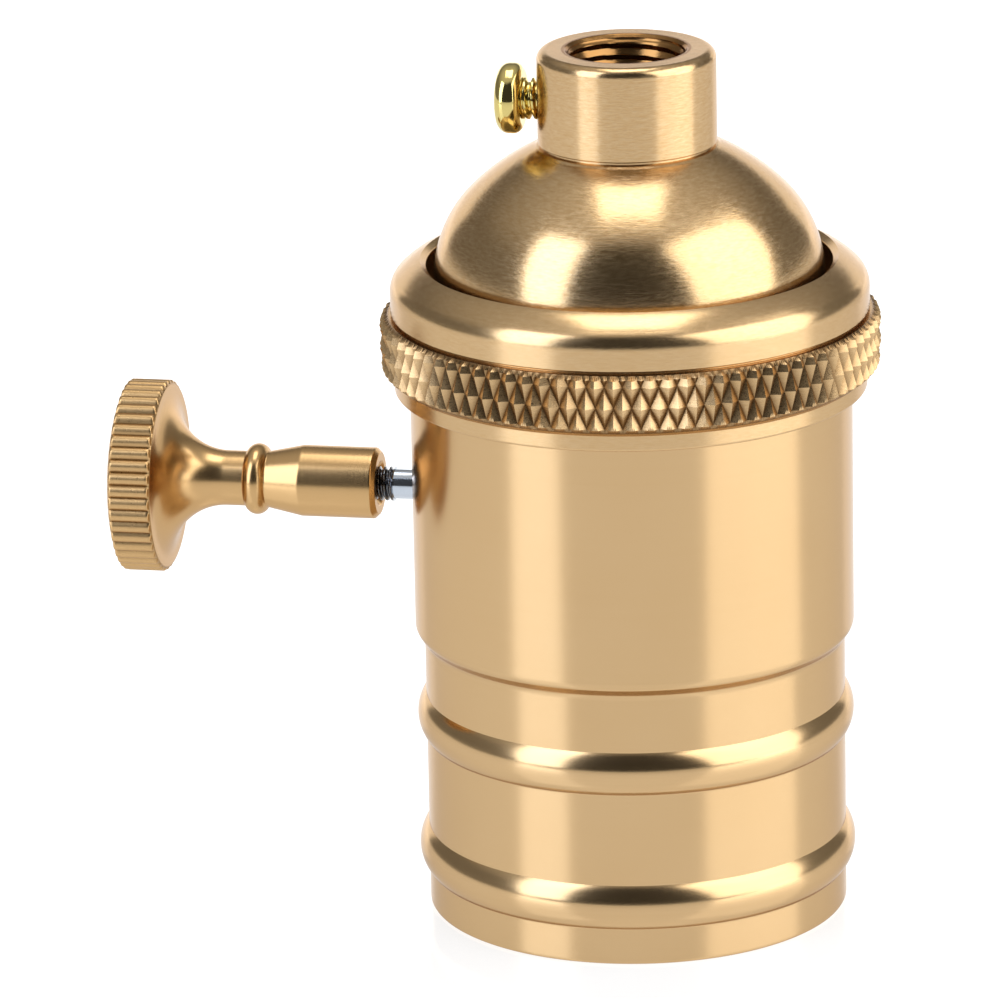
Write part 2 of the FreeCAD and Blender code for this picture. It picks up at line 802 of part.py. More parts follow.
def make_detent_spring():
    """Flat spring under the cam: both ends on the chamber floor, its crown against the cam's flat."""
    crown = "knob_level - cam_half"
    body = doc.addObject("PartDesign::Body", "detent_spring")
    level = "- cam_start - spring_half_width - sheet"
    sketch = new_sketch(body, "detent_spring_outline", "YZ_Plane", level)
    add_outline(sketch, [
        ("- spring_half_length", "chamber_floor"),
        ("- spring_half_length + cam_start", "chamber_floor"),
        ("- cam_round", f"{crown} - spring_sheet"),
        ("cam_round", f"{crown} - spring_sheet"),
        ("spring_half_length - cam_start", "chamber_floor"),
        ("spring_half_length", "chamber_floor"),
        ("spring_half_length", "chamber_floor + spring_sheet"),
        ("spring_half_length - cam_start", "chamber_floor + spring_sheet"),
        ("cam_round", crown),
        ("- cam_round", crown),
        ("- spring_half_length + cam_start", "chamber_floor + spring_sheet"),
        ("- spring_half_length", "chamber_floor + spring_sheet"),
    ])
    pad(body, sketch, "spring_half_width", symmetric=True)
    return body


# ---- knob ----


def make_knob():
    """Turned knob: barrel, bead, flared stem and a disc with a straight-knurled rim."""
    bead_end = "knob_bead_start + knob_bead_width"
    body = turned("knob", [
        ("zero", "knob_hole_end"),
        ("spindle_thread", "knob_hole_end"),
        ("spindle_thread", "barrel_start + barrel_chamfer"),
        ("knob_sink", "barrel_start"),
        ("barrel_radius - barrel_chamfer", "barrel_start"),
        ("barrel_radius", "barrel_start + barrel_chamfer"),
        ("barrel_radius", "barrel_taper"),
        ("knob_bead_foot", "knob_bead_start"),
        ("knob_bead_foot", bead_end, "knob_bead_round", LEFT_TURN),
        ("knob_neck", bead_end),
        ("knob_neck", "flare_start"),
        ("knob_neck + flare_round", "flare_start + flare_round", "flare_round", RIGHT_TURN),
        ("disc_core", "disc_start"),
        ("disc_core", "disc_end"),
        ("disc_core - disc_bevel", "disc_end + disc_dome"),
        ("zero", "disc_end + disc_dome"),
    ])
    sketch = new_sketch(body, "ridge", "XY_Plane", "disc_start + ridge_inset")
    add_outline(sketch, [
        ("disc_core - ridge_inset", "- ridge_foot"),
        ("disc_core", "- ridge_foot"),
        ("ridge_tip - ridge_round", "- ridge_shoulder"),
        ("ridge_tip", "- ridge_crest"),
        ("ridge_tip", "ridge_crest"),
        ("ridge_tip - ridge_round", "ridge_shoulder"),
        ("disc_core", "ridge_foot"),
        ("disc_core - ridge_inset", "ridge_foot"),
    ])
    ridge = pad(body, sketch, "disc_end - disc_start - ridge_inset - ridge_inset")
    polar(body, ridge, "ridge_count")
    lay_along_knob(body)
    return body


# ---- cap: flange, dome and neck in one piece ----


def cut(name, base, tool):
    difference = doc.addObject("Part::Cut", name)
    difference.Base, difference.Tool = base, tool
    return difference


def make_cap():
    """Each side of the dome is two tangent arcs: a tighter one at the flange, a flatter one on top."""
    body = turned("cap", [
        ("dome_inner_radius", "flange_bottom"),
        ("flange_radius", "flange_bottom"),
        ("flange_radius", "flange_top"),
        ("dome_radius", "flange_top"),
        ("dome_radius", "dome_level"),
        ("dome_join_radius", "dome_join_level", "dome_side_round", LEFT_TURN),
        ("neck_radius + neck_foot_round", "neck_foot", "dome_top_round", LEFT_TURN),
        ("neck_radius", "neck_foot + neck_foot_round"),
        ("neck_radius", "cap_top - neck_round"),
        ("neck_radius - neck_round", "cap_top", "neck_round", LEFT_TURN),
        ("cord_mouth", "cap_top"),
        ("cord_bore", "cap_top - cord_mouth + cord_bore"),
        ("cord_bore", "cord_bore_bottom"),
        ("inner_join_radius", "inner_join_level"),
        ("dome_inner_radius", "dome_level"),
    ])
    drill(body, "grip_screw_hole", "YZ_Plane", "zero", "grip_level", "grip_hole", "grip_head_start")
    return body


def make_liner():
    """Insulating sleeve inside the cap, around the terminals."""
    return turned("cap_liner", box_corners("liner_inner", "liner_outer", "liner_bottom", "liner_top"))


# ---- lock ring with its diamond knurl ----


def knurl_node(step, row):
    """Tips and groove crossings alternate like the squares of a chessboard."""
    radius = size("knurl_tip") if (step + row) % 2 == 0 else size("knurl_valley")
    angle = math.radians(size("knurl_turn")) + step * math.pi / size("knurl_count")
    level = size("knurl_first_row") + row * size("knurl_row")
    return FreeCAD.Vector(radius * math.cos(angle), radius * math.sin(angle), level)


def triangle(a, b, c):
    return Part.Face(Part.makePolygon([a, b, c, a]))


def make_knurl_cutter():
    """What two crossing sets of slanted V grooves leave outside their pointed diamonds."""
    steps = 2 * int(size("knurl_count"))
    rows = 4
    faces = []
    for row in range(rows):
        for step in range(steps):
            here, right = knurl_node(step, row), knurl_node(step + 1, row)
            above, across = knurl_node(step, row + 1), knurl_node(step + 1, row + 1)
            if (step + row) % 2 == 0:
                faces += [triangle(here, right, above), triangle(right, across, above)]
            else:
                faces += [triangle(here, right, across), triangle(here, across, above)]
    bottom, top = knurl_node(0, 0).z, knurl_node(0, rows).z
    outer = Part.makeCylinder(size("knurl_clear"), top - bottom, FreeCAD.Vector(0, 0, bottom))
    faces.append(next(face for face in outer.Faces if isinstance(face.Surface, Part.Cylinder)))
    for row, level in ((0, bottom), (rows, top)):
        rim = Part.Wire(Part.makeCircle(size("knurl_clear"), FreeCAD.Vector(0, 0, level)))
        teeth = Part.makePolygon([knurl_node(step % steps, row) for step in range(steps + 1)])
        faces.append(Part.makeFace([rim, teeth], "Part::FaceMakerBullseye"))
    shell = Part.makeShell(faces)
    shell.sewShape()
    solid = Part.Solid(Part.Shell(shell.Faces))
    cutter = doc.addObject("Part::Feature", "knurl_cutter")
    cutter.Shape = solid if solid.Volume > 0 else solid.reversed()
    return cutter


def make_lock_ring():
    blank = turned("ring_blank", [
        ("ring_counterbore", "ring_bottom"),
        ("ring_foot", "ring_bottom"),
        ("ring_band", "ring_bottom + ring_edge"),
        ("ring_band", "knurl_lip"),
        ("knurl_blank", "knurl_bottom"),
        ("knurl_blank", "knurl_top"),
        ("ledge_radius", "ledge_level"),
        ("ledge_groove", "ledge_level"),
        ("upper_band", "upper_band_bottom"),
        ("upper_band", "upper_band_top"),
        ("crown_radius", "crown_level", "shoulder_round", LEFT_TURN),
        ("opening_radius", "opening_level"),
        ("opening_radius", "lip_level"),
        ("ring_bore", "lip_level"),
        ("ring_bore", "ring_counterbore_top"),
        ("ring_counterbore", "ring_counterbore_top"),
    ])
    return cut("lock_ring", blank, make_knurl_cutter())


# ---- grip screw ----


def make_grip_screw():
    body = turned("grip_screw", [
        ("zero", "grip_tip"),
        ("grip_shank - edge", "grip_tip"),
        ("grip_shank", "grip_tip + edge"),
        ("grip_shank", "grip_head_start"),
        ("grip_head_radius", "grip_head_start"),
        ("grip_head_radius", "grip_head_end - grip_head_round"),
        ("grip_head_radius - grip_head_round", "grip_head_end", "grip_head_round", LEFT_TURN),
        ("zero", "grip_head_end"),
    ])
    slot = box_corners("- grip_slot", "grip_slot", "- grip_slot_reach", "grip_slot_reach")
    mill(body, "grip_driver_slot", "XY_Plane", slot, "grip_slot_depth", "grip_head_end")
    lay_along_knob(body, "grip_level")
    return body


# ---- assembly: every sub-part, checked and written out ----

SUBPARTS = {
    "outer_shell": make_outer_shell(),
    "porcelain_core": make_core(),
    "screw_shell": make_screw_shell(),
    "centre_contact": make_centre_contact(),
    "contact_rivet": make_rivet(),
    "core_clip": make_core_clip(),
    "switch_block": make_switch_block(),
    "terminal_deck": make_deck(),
    "lamp_contact": make_lamp_contact(),
    "feed_contact": make_feed_contact(),
    "neutral_strap": make_neutral_strap(),
    "live_terminal": make_terminal("live_terminal", "- "),
    "neutral_terminal": make_terminal("neutral_terminal", ""),
    "terminal_screws": make_terminal_screws(),
    "deck_screws": make_deck_screws(),
    "deck_nuts": gather("deck_nuts", [make_nut("nut_low", "- "), make_nut("nut_high", "")]),
    "detent_spring": make_detent_spring(),
    "spindle": make_spindle(),
    "detent_cam": make_cam(),
    "contact_bridge": make_bridge(),
    "spindle_collar": make_stop_ring(),
    "knob": make_knob(),
    "cap": make_cap(),
    "cap_liner": make_liner(),
    "lock_ring": make_lock_ring(),
    "grip_screw": make_grip_screw(),
}

doc.recompute()
for feature in doc.Objects:
    if "Invalid" in feature.State or "Error" in feature.State:
        raise RuntimeError(f"{feature.Label} failed to recompute")
for name, subpart in SUBPARTS.items():
    subpart.Label = name
    if subpart.Shape.isNull() or not subpart.Shape.isValid():
        raise RuntimeError(f"{name} has no valid shape")

os.makedirs("parts", exist_ok=True)
for name, subpart in SUBPARTS.items():
    subpart.Shape.exportStep(f"parts/{name}.step")
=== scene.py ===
"""A turned brass-gold lamp holder with a rotary knob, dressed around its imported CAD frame.

Sizes are in millimetres until a mesh is made, and levels are heights above the floor.
Along the knob, a level is a distance from the lamp axis towards the knob.
"""

import math

import bpy
import numpy as np
from mathutils import Matrix, Vector


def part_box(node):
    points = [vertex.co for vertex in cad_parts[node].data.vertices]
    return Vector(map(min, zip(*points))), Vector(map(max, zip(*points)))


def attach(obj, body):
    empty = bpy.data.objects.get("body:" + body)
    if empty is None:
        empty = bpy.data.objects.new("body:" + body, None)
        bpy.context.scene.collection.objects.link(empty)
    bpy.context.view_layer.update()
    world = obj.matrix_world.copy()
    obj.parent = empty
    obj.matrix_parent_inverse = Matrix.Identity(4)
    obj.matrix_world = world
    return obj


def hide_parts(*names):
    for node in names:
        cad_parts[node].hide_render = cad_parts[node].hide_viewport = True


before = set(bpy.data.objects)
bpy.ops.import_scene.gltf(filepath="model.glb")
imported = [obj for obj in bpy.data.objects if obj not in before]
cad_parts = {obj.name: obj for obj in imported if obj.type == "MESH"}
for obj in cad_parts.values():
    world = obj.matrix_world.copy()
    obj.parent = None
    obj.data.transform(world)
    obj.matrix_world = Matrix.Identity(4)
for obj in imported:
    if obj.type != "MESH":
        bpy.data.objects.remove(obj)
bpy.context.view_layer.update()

FULL_TURN = 2 * math.pi

# In millimetres: the spacing of points on an arc, how far an extra point stands from a corner, and
# how close two places are taken for one.
ARC_STEP = 0.16
GUARD = 0.03
SAME = 1e-6


# ---- surfaces ----


def reach(node):
    """Lowest and highest corner of a CAD node, in millimetres."""
    low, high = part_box(node)
    return 1000 * np.array(low), 1000 * np.array(high)


class Outline:
    """A cross-section drawn as (radius, level), with the metal on the left of the pen.

    Runs are straight or circular, and a corner may be broken by a small radius.
    """

    def __init__(self, radius, level):
        self.corners = [(radius, level, 0.0)]

    def line(self, radius, level, broken=0.0):
        self.corners.append((radius, level, broken))
        return self

    def arc(self, radius, level, bend, turn=1):
        """A circular run of radius bend, its centre on the left for turn 1, on the right for -1."""
        start = np.array(self.corners[-1][:2])
        half = (np.array((radius, level)) - start) / 2
        chord = np.hypot(*half)
        sideways = turn * np.array((-half[1], half[0])) / chord
        centre = start + half + sideways * math.sqrt(max(bend**2 - chord**2, 0))
        first, last = start - centre, start + 2 * half - centre
        opening = math.atan2(first[1], first[0])
        sweep = (math.atan2(last[1], last[0]) - opening) * turn % FULL_TURN * turn
        steps = max(int(abs(sweep) * bend / ARC_STEP), 6)
        for angle in opening + sweep * np.arange(1, steps + 1) / steps:
            self.corners.append(
                (centre[0] + bend * math.cos(angle), centre[1] + bend * math.sin(angle), 0.0))
        return self

    def points(self, grain=2.5):
        """Corners in order, broken ones as arcs, with extra points in long runs and beside corners."""
        rounded = []
        count = len(self.corners)
        for k, (radius, level, broken) in enumerate(self.corners):
            here = np.array((radius, level))
            if not broken or k in (0, count - 1):
                rounded.append(here)
                continue
            back = np.array(self.corners[k - 1][:2]) - here
            ahead = np.array(self.corners[k + 1][:2]) - here
            back_unit, ahead_unit = back / np.hypot(*back), ahead / np.hypot(*ahead)
            cut = min(broken, 0.45 * np.hypot(*back), 0.45 * np.hypot(*ahead))
            start, end = here + cut * back_unit, here + cut * ahead_unit
            for t in np.linspace(0, 1, 5):
                rounded.append((1 - t) ** 2 * start + 2 * t * (1 - t) * here + t**2 * end)
        dense = [rounded[0]]
        for start, end in zip(rounded, rounded[1:]):
            length = np.hypot(*(end - start))
            if length > 4 * GUARD and length > 1.5 * ARC_STEP:
                inner = np.linspace(GUARD, length - GUARD, max(int(length / grain), 1) + 1)
                dense += [start + (end - start) * t / length for t in inner]
            dense.append(end)
        return np.array(dense)


def turned(outline, columns, relief=None, start=0.0):
    """Rings of a body of revolution: each outline point carried round the axis.

    x = radius cos(angle), y = radius sin(angle), z = level, where relief may change the radius.
    """
    angle = start + FULL_TURN * np.arange(columns) / columns
    radius = np.repeat(outline[:, :1], columns, 1)
    level = np.repeat(outline[:, 1:], columns, 1)
    if relief is not None:
        radius = relief(angle[None, :], radius, level)
    return np.stack([radius * np.cos(angle), radius * np.sin(angle), level], -1)


def along_knob(points, level):
    """Lays a body drawn about the vertical axis along -X: (x, y, z) becomes (-z, y, x + level)."""
    return np.stack([-points[..., 2], points[..., 1], points[..., 0] + level], -1)


def lattice(rings, looped):
    """Corner numbers of the quads between neighbouring rings; a ring on the axis is one corner."""
    rows, columns = rings.shape[:2]
    ids = np.arange(rows * columns).reshape(rows, columns)
    for row in (0, rows - 1):
        if np.ptp(rings[row], 0).max() < SAME:
            ids[row] = ids[row, 0]
    if looped:
        ids = np.vstack([ids, ids[:1]])
    side = np.roll(ids, -1, 1)
    return np.stack([ids[:-1], side[:-1], side[1:], ids[1:]], -1)


def make_piece(name, points, faces, finish, body, replaced=(), crease=None):
    """A mesh object from corner places in millimetres and arrays of faces.

    A corner that repeats the one before it is dropped, and so is a face left with fewer than three.
    """
    polygons = []
    for group in faces:
        for corners in group.reshape(-1, group.shape[-1]).tolist():
            kept = [c for k, c in enumerate(corners) if c != corners[k - 1]]
            if len(kept) > 2:
                polygons.append(kept)
    used = np.unique(np.concatenate([np.array(p) for p in polygons]))
    renumbered = np.full(len(points), -1)
    renumbered[used] = np.arange(len(used))
    mesh = bpy.data.meshes.new(name)
    mesh.from_pydata((points[used] / 1000).tolist(), [], [renumbered[p].tolist() for p in polygons])
    mesh.validate()
    mesh.shade_smooth()
    if crease:
        mesh.set_sharp_from_angle(angle=math.radians(crease))
    mesh.materials.append(finish)
    piece = bpy.data.objects.new(name, mesh)
    bpy.context.scene.collection.objects.link(piece)
    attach(piece, body)
    if replaced:
        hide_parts(*replaced)


def turned_piece(name, rings, finish, body, replaced=(), looped=True, crease=None):
    """A piece whose faces join neighbouring rings; looped joins the last ring to the first."""
    points = rings.reshape(-1, 3)
    make_piece(name, points, [lattice(rings, looped)], finish, body, replaced, crease)


def screw_thread(pitch, depth, low, high, sharp=2.0):
    """A relief that cuts a helical thread: the wave runs with level / pitch - angle / full turn.

    The cut deepens from nothing over a short run-out at the thread's two ends.
    """
    run_out = 0.3

    def relief(angle, radius, level):
        phase = (level / pitch - angle / FULL_TURN) % 1
        wave = np.clip(sharp * (np.abs(2 * phase - 1) - 0.5) + 0.5, 0, 1)
        inside = np.clip((level - low) / run_out, 0, 1) * np.clip((high - level) / run_out, 0, 1)
        return radius + depth * wave * inside

    return relief


def only_on(wall, low, high, cut):
    """A relief that holds where the surface lies on the radius wall, between two levels."""
    def relief(angle, radius, level):
        threaded = (np.abs(radius - wall) < SAME) & (level > low) & (level < high)
        return np.where(threaded, cut(angle, radius, level), radius)

    return relief


# ---- finishes ----

BUMP_DEPTH = 0.00002
# The colour of painted shade inside a bore.
BORE_SHADE_COLOUR = (0.26, 0.12, 0.03, 1)
# The colour of painted shade in knurl valleys, and of their grit.
SHADE_AND_GRIT_COLOUR = (0.15, 0.08, 0.03, 1)
# The darker tone of a thread towards the knob.
THREAD_DARK_COLOUR = (0.03, 0.025, 0.02, 1)


class Value:
    """One number of a material's node tree; arithmetic on it adds Math nodes."""

    def __init__(self, finish, socket):
        self.finish = finish
        self.socket = socket

    def maths(self, operation, *others):
        values = dict(enumerate((self, *others)))
        return self.finish.node("ShaderNodeMath", {"operation": operation}, values)

    def __add__(self, other):
        return self.maths("ADD", other)

    def __radd__(self, other):
        return self.maths("ADD", other)

    def __sub__(self, other):
        return self.maths("SUBTRACT", other)

    def __rsub__(self, other):
        return self.finish.node("ShaderNodeMath", {"operation": "SUBTRACT"}, {0: other, 1: self})

    def __mul__(self, other):
        return self.maths("MULTIPLY", other)

    def __rmul__(self, other):
        return self.maths("MULTIPLY", other)

    def __truediv__(self, other):
        return self.maths("DIVIDE", other)

    def clamped(self):
        return self.maths("MAXIMUM", 0.0).maths("MINIMUM", 1.0)


class Nodes:
    """A node tree. Every node comes from node(): its settings first, then its sockets."""

    def __init__(self, tree):
        self.tree = tree
        self.tree.nodes.clear()

    def node(self, kind, settings, values, output=0):
        made = self.tree.nodes.new(kind)
        for key, setting in settings.items():
            if key == "stops":
                ramp = made.color_ramp
                while len(ramp.elements) < len(setting):
                    ramp.elements.new(0.5)
                for element, (position, colour) in zip(ramp.elements, setting):
                    element.position = position
                    element.color = colour
            else:
                setattr(made, key, setting)
        for key, value in values.items():
            if isinstance(value, Value):
                self.tree.links.new(value.socket, made.inputs[key])
            else:
                made.inputs[key].default_value = value
        return Value(self, made.outputs[output])

    def output(self, kind, shader):
        made = self.tree.nodes.new(kind)
        self.tree.links.new(shader.socket, made.inputs["Surface"])


class Finish(Nodes):
    """A procedural material, laid out in millimetres about the lamp axis."""

    def __init__(self, name):
        self.material = bpy.data.materials.new(name)
        self.material.use_nodes = True
        super().__init__(self.material.node_tree)
        place = self.node("ShaderNodeTexCoord", {}, {}, "Object")
        self.place = self.node(
            "ShaderNodeVectorMath", {"operation": "SCALE"}, {0: place, "Scale": 1000.0})

    def noise(self, place, scale, detail=2.0, rough=0.5):
        values = {"Vector": place, "Scale": scale, "Detail": detail, "Roughness": rough}
        return self.node("ShaderNodeTexNoise", {}, values)

    def stretched(self, x, y, z):
        """The place in millimetres, scaled by a different amount along each direction."""
        return self.node(
            "ShaderNodeVectorMath", {"operation": "MULTIPLY"}, {0: self.place, 1: (x, y, z)})

    def lathe(self, along, level=0.0):
        """Distance from a turned body's axis, and place along it."""
        flat = (0.0, 1.0, 1.0) if along == "X" else (1.0, 1.0, 0.0)
        centred = self.node(
            "ShaderNodeVectorMath", {"operation": "SUBTRACT"}, {0: self.place, 1: (0.0, 0.0, level)})
        across = self.node("ShaderNodeVectorMath", {"operation": "MULTIPLY"}, {0: centred, 1: flat})
        radius = self.node("ShaderNodeVectorMath", {"operation": "LENGTH"}, {0: across}, "Value")
        return radius, self.node("ShaderNodeSeparateXYZ", {}, {0: self.place}, along)

    def pair(self, first, second):
        return self.node("ShaderNodeCombineXYZ", {}, {"X": first, "Y": second})

    def mix(self, amount, first, second):
        """A colour between first and second."""
        return self.node(
            "ShaderNodeMix", {"data_type": "RGBA"}, {"Factor": amount, 6: first, 7: second}, 2)

    def ramp(self, amount, *stops):
        return self.node("ShaderNodeValToRGB", {"stops": stops}, {"Fac": amount})

    def bump(self, height, strength):
        values = {"Height": height, "Strength": strength, "Distance": BUMP_DEPTH}
        return self.node("ShaderNodeBump", {}, values)

    def shade(self, **sockets):
        """The one Principled shader; socket names are written with _ for a space."""
        values = {key.replace("_", " "): value for key, value in sockets.items()}
        self.output("ShaderNodeOutputMaterial", self.node("ShaderNodeBsdfPrincipled", {}, values))
        return self.material


def turned_gold(name, along="Z", level=0.0, deep=(0.53, 0.34, 0.155, 1), light=(0.63, 0.45, 0.25, 1),
                gloss=0.19, lines=0.10, brushed=0.0, spread=0.0, rim=None, bore=0.0):
    """Anodised aluminium off a lathe: fine rings round the axis, and a faint cloudiness of the dye.

    brushed adds short level scratches, and spread widens reflections across the rings. rim gives a
    knurled rim's radii (start, valley, tip) and how much painted shade darkens its valleys, by the square
    of their depth, with a little random grit besides. Inside the radius bore the colour darkens to
    painted shade.
    """
    finish = Finish(name)
    radius, along_axis = finish.lathe(along, level)
    rings = finish.noise(finish.pair(radius, along_axis), 5.5, 3.0, 0.7)
    cloud = finish.noise(finish.place, 0.11, 2.0)
    grain = finish.noise(finish.place, 6.0, 2.0)
    tone = 0.55 + 0.25 * (cloud - 0.5) + 0.20 * (rings - 0.5)
    rough = gloss + 0.05 * (rings - 0.5) + 0.03 * (grain - 0.5) + 0.03 * (cloud - 0.5)
    marks = rings + 0.25 * grain
    if brushed:
        scratch = finish.noise(finish.stretched(1.3, 1.3, 6.0), 1.0, 2.0, 0.7)
        tone = tone + 2.4 * brushed * (scratch - 0.5)
        rough = rough + 0.20 * brushed * (scratch - 0.5)
        marks = marks + 4.0 * brushed * scratch
    colour = finish.mix(tone.clamped(), deep, light)
    # Painted shade inside the bore: the colour darkens towards the axis.
    if bore:
        colour = finish.mix(((bore - radius) * 8.0).clamped() * 0.85, colour, BORE_SHADE_COLOUR)
    # Painted shade in a knurled rim's valleys, darker by the square of their depth, with random grit
    # besides.
    if rim:
        start, valley, tip, valley_shade_strength = rim
        cut = ((radius - start) * 8.0).clamped()
        depth = ((tip - radius) / (tip - valley)).clamped()
        grit = finish.noise(finish.place, 3.2, 4.0, 0.75)
        valley_shade_and_grit = cut * (valley_shade_strength * depth * depth + 0.3 * (grit - 0.25)).clamped()
        colour = finish.mix(valley_shade_and_grit, colour, SHADE_AND_GRIT_COLOUR)
        rough = rough + cut * (0.06 + 0.20 * (grit - 0.5))
        marks = marks + cut * 1.4 * grit
    return finish.shade(
        Base_Color=colour, Metallic=1.0, Roughness=rough, Normal=finish.bump(marks, lines),
        Specular_Tint=(0.78, 0.72, 0.68, 1), Anisotropic=spread, Anisotropic_Rotation=0.25)


def polished_metal(name, colour, dull, gloss=0.12, lines=0.05, darkened_beyond=None):
    """Plated or bare metal: slight tarnish in patches and fine random marks.

    Past the given distance from the lamp axis, towards the knob, a thread is darker.
    """
    finish = Finish(name)
    patch = finish.noise(finish.place, 0.5, 4.0, 0.6)
    marks = finish.noise(finish.stretched(1.0, 1.0, 9.0), 2.5, 3.0)
    tone = finish.mix(patch * 0.5 + 0.25, colour, dull)
    rough = gloss + 0.10 * (patch - 0.5) + 0.06 * (marks - 0.5)
    # The thread gets darker towards the knob, past the given distance from the lamp axis.
    if darkened_beyond:
        across = finish.node("ShaderNodeSeparateXYZ", {}, {0: finish.place}, "X")
        dark = ((-darkened_beyond - across) * 6.0).clamped() * (0.70 + 0.25 * patch)
        tone = finish.mix(dark, tone, THREAD_DARK_COLOUR)
    return finish.shade(
        Base_Color=tone, Metallic=1.0, Roughness=rough, Normal=finish.bump(marks, lines))


def glazed_porcelain(name):
    """White steatite: off-white, with grey specks and a thin uneven glaze."""
    finish = Finish(name)
    cloud = finish.noise(finish.place, 0.25, 3.0)
    specks = finish.noise(finish.place, 2.2, 2.0)
    spotted = finish.ramp(specks, (0.70, (0, 0, 0, 1)), (0.76, (1, 1, 1, 1)))
    ground = finish.mix(cloud, (0.80, 0.78, 0.72, 1), (0.88, 0.87, 0.83, 1))
    colour = finish.mix(spotted * 0.35, ground, (0.45, 0.40, 0.33, 1))
    rough = 0.24 + 0.12 * (cloud - 0.5) + 0.10 * specks
    return finish.shade(
        Base_Color=colour, Roughness=rough, Normal=finish.bump(specks + cloud, 0.12), IOR=1.55,
        Coat_Weight=0.35, Coat_Roughness=0.12)


def moulded(name, dark, pale, gloss=0.42):
    """Pressed thermoset or fibre: a mottled ground with a fine skin texture."""
    finish = Finish(name)
    mottle = finish.noise(finish.place, 0.8, 4.0, 0.65)
    skin = finish.noise(finish.place, 5.0, 2.0)
    colour = finish.mix(mottle, dark, pale)
    rough = gloss + 0.15 * (skin - 0.5) + 0.08 * (mottle - 0.5)
    return finish.shade(Base_Color=colour, Roughness=rough, Normal=finish.bump(skin, 0.25), IOR=1.5)


def middle_level(node):
    """The level of a CAD node's middle."""
    low, high = reach(node)
    return (low[2] + high[2]) / 2


KNOB_LEVEL = middle_level("spindle")
GRIP_LEVEL = middle_level("grip_screw")

SHELL_GOLD = turned_gold("shell_gold")
# The cap's neck bore gets painted shade.
CAP_GOLD = turned_gold("cap_gold", gloss=0.22, lines=0.14, brushed=0.8, spread=0.45, bore=5.6)
# The ring's knurl gets painted shade in its valleys.
RING_GOLD = turned_gold(
    "ring_gold", gloss=0.22, lines=0.13, brushed=0.4, spread=0.4, rim=(20.66, 20.93, 21.5, 0.72))
# The knob's ridges get painted shade in the valleys between them.
KNOB_GOLD = turned_gold(
    "knob_gold", "X", KNOB_LEVEL, (0.50, 0.31, 0.125, 1), (0.62, 0.41, 0.20, 1), 0.24, 0.20,
    rim=(7.9, 8.05, 8.36, 0.35))
GRIP_BRASS = polished_metal("grip_brass", (0.76, 0.64, 0.26, 1), (0.60, 0.47, 0.15, 1), 0.09)
SPINDLE_STEEL = polished_metal(
    "spindle_steel", (0.62, 0.68, 0.75, 1), (0.45, 0.50, 0.57, 1), 0.13, darkened_beyond=20.85)
PORCELAIN = glazed_porcelain("porcelain")
CONTACT_BRASS = polished_metal("contact_brass", (0.83, 0.66, 0.33, 1), (0.68, 0.50, 0.22, 1), 0.20)
SPRING_BRONZE = polished_metal("spring_bronze", (0.78, 0.52, 0.30, 1), (0.62, 0.38, 0.20, 1), 0.24)
SCREW_STEEL = polished_metal("screw_steel", (0.66, 0.66, 0.64, 1), (0.50, 0.50, 0.48, 1), 0.25)
SPRING_STEEL = polished_metal("spring_steel", (0.55, 0.56, 0.58, 1), (0.38, 0.38, 0.42, 1), 0.28)
MOULDED_BLACK = moulded("moulded_black", (0.012, 0.012, 0.013, 1), (0.030, 0.029, 0.028, 1))
FIBRE = moulded("fibre_liner", (0.62, 0.52, 0.36, 1), (0.74, 0.65, 0.48, 1), 0.62)


# ---- outer shell ----


